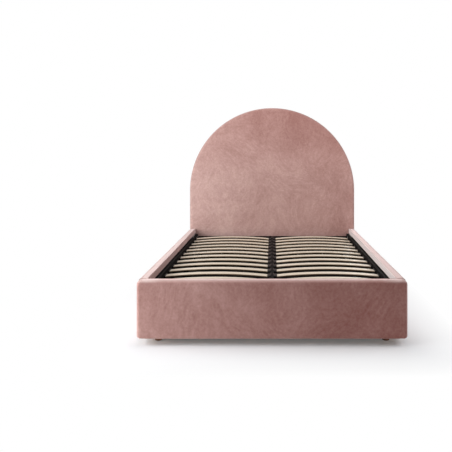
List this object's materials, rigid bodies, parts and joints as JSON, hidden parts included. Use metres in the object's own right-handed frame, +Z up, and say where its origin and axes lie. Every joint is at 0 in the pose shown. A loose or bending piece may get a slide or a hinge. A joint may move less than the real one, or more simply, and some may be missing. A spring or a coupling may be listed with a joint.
{
  "type": "bed frame",
  "caption": "Upholstered bed frame with an arched velvet headboard and low rails, a steel base of sprung wooden slats that lifts on gas struts, and a storage box beneath.",
  "frame": {"origin": "on the floor under the middle of the whole bed", "axes": "+Z up, +Y towards the headboard, +X to the right seen from the foot end"},
  "size_m": [1.73, 2.16, 1.6778],
  "materials": {
    "velvet": "dusty pink brushed velvet over foam",
    "panel_board": "raw chipboard and thin fibreboard",
    "pine": "planed pine",
    "back_cloth": "black non-woven cloth",
    "zinc_steel": "zinc-plated steel",
    "foot_wood": "brown stained beech",
    "base_paint": "dark grey powder coat",
    "holder_plastic": "moulded dark grey plastic",
    "birch_slat": "pale lacquered birch plywood",
    "strut_paint": "black satin paint",
    "rod_chrome": "hard chrome"
  },
  "bodies": {
    "box": {"headboard_board": "panel_board", "headboard_cover": "velvet", "headboard_back_cloth": "back_cloth", "foot_rail_board": "panel_board", "foot_rail_cover": "velvet", "side_rail_board_left": "panel_board", "side_rail_board_right": "panel_board", "side_rail_cover_left": "velvet", "side_rail_cover_right": "velvet", "corner_brackets": "zinc_steel", "bracket_bolts": "zinc_steel", "support_ledges": "pine", "corner_blocks": "pine", "floor_battens": "pine", "centre_beam": "pine", "floor_panels": "panel_board", "feet": "foot_wood", "hinge_plates": "zinc_steel", "pivot_pins": "zinc_steel", "strut_pins": "zinc_steel"},
    "base": {"side_tube_left": "base_paint", "side_tube_right": "base_paint", "end_tubes": "base_paint", "centre_tube": "base_paint", "mid_braces": "base_paint", "strut_lugs": "base_paint", "side_holders_left": "holder_plastic", "side_holders_right": "holder_plastic", "centre_holders": "holder_plastic", "slat_left_01": "birch_slat", "slat_left_02": "birch_slat", "slat_left_03": "birch_slat", "slat_left_04": "birch_slat", "slat_left_05": "birch_slat", "slat_left_06": "birch_slat", "slat_left_07": "birch_slat", "slat_left_08": "birch_slat", "slat_left_09": "birch_slat", "slat_left_10": "birch_slat", "slat_left_11": "birch_slat", "slat_left_12": "birch_slat", "slat_left_13": "birch_slat", "slat_right_01": "birch_slat", "slat_right_02": "birch_slat", "slat_right_03": "birch_slat", "slat_right_04": "birch_slat", "slat_right_05": "birch_slat", "slat_right_06": "birch_slat", "slat_right_07": "birch_slat", "slat_right_08": "birch_slat", "slat_right_09": "birch_slat", "slat_right_10": "birch_slat", "slat_right_11": "birch_slat", "slat_right_12": "birch_slat", "slat_right_13": "birch_slat"},
    "strut_cylinder_left": {"gas_cylinder_left": "strut_paint"},
    "strut_rod_left": {"gas_rod_left": "rod_chrome"},
    "strut_cylinder_right": {"gas_cylinder_right": "strut_paint"},
    "strut_rod_right": {"gas_rod_right": "rod_chrome"}
  },
  "joints": [
    {"name": "base_lift", "type": "hinge", "parent": "box", "child": "base", "pos_m": [0, 0.905, 0.336], "axis": [-1, 0, 0], "range_deg": [0, 42]},
    {"name": "strut_swing_left", "type": "hinge", "parent": "box", "child": "strut_cylinder_left", "pos_m": [-0.784, 0.805, 0.146], "axis": [-1, 0, 0], "range_deg": [0, 37.1]},
    {"name": "rod_slide_left", "type": "slide", "parent": "strut_cylinder_left", "child": "strut_rod_left", "axis": [0, -0.9165, 0.3999], "range_m": [0, 0.15]},
    {"name": "strut_swing_right", "type": "hinge", "parent": "box", "child": "strut_cylinder_right", "pos_m": [0.784, 0.805, 0.146], "axis": [-1, 0, 0], "range_deg": [0, 37.1]},
    {"name": "rod_slide_right", "type": "slide", "parent": "strut_cylinder_right", "child": "strut_rod_right", "axis": [0, -0.9165, 0.3999], "range_m": [0, 0.15]}
  ],
  "couplings": [
    {"joint": "strut_swing_left", "follows": "base_lift", "ratio": 0.8806},
    {"joint": "rod_slide_left", "follows": "base_lift", "m_per_rad": 0.20362},
    {"joint": "strut_swing_right", "follows": "base_lift", "ratio": 0.8806},
    {"joint": "rod_slide_right", "follows": "base_lift", "m_per_rad": 0.20362}
  ]
}
